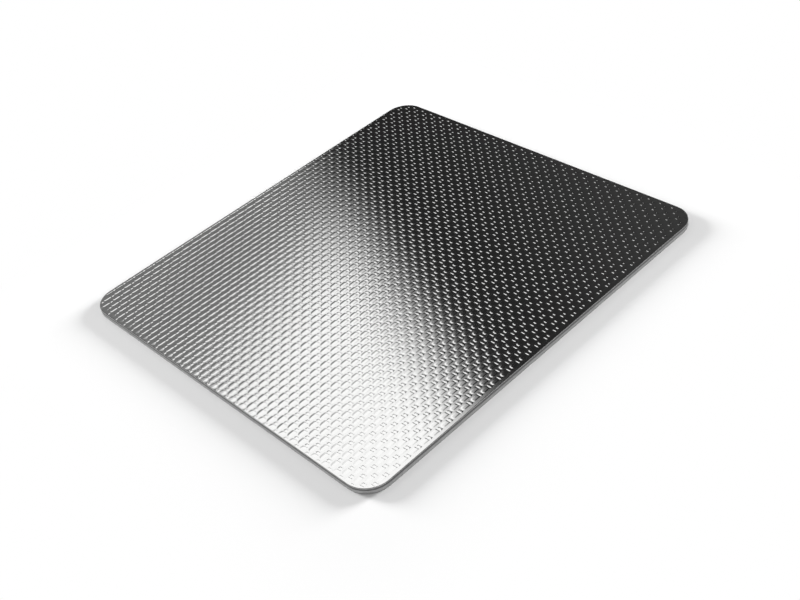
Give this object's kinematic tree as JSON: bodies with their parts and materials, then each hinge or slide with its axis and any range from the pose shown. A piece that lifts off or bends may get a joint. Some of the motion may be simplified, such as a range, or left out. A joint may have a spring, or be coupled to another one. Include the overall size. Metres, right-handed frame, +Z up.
{
  "type": "embossed stainless steel sheet",
  "caption": "Flat rectangular stainless steel sheet with rounded corners, an embossed front of staggered pads and a plain back, for cladding, lining and wear surfaces.",
  "frame": {"origin": "under the middle of the sheet, on the plain back face that it lies on", "axes": "+X along the longer side, +Y along the shorter side, +Z up out of the embossed front face"},
  "size_m": [0.11, 0.1, 0.0018],
  "materials": {
    "stainless_steel": "bright rolled, embossed on the front, plain satin on the back"
  },
  "bodies": {
    "root": {"sheet": "stainless_steel"}
  },
  "joints": []
}
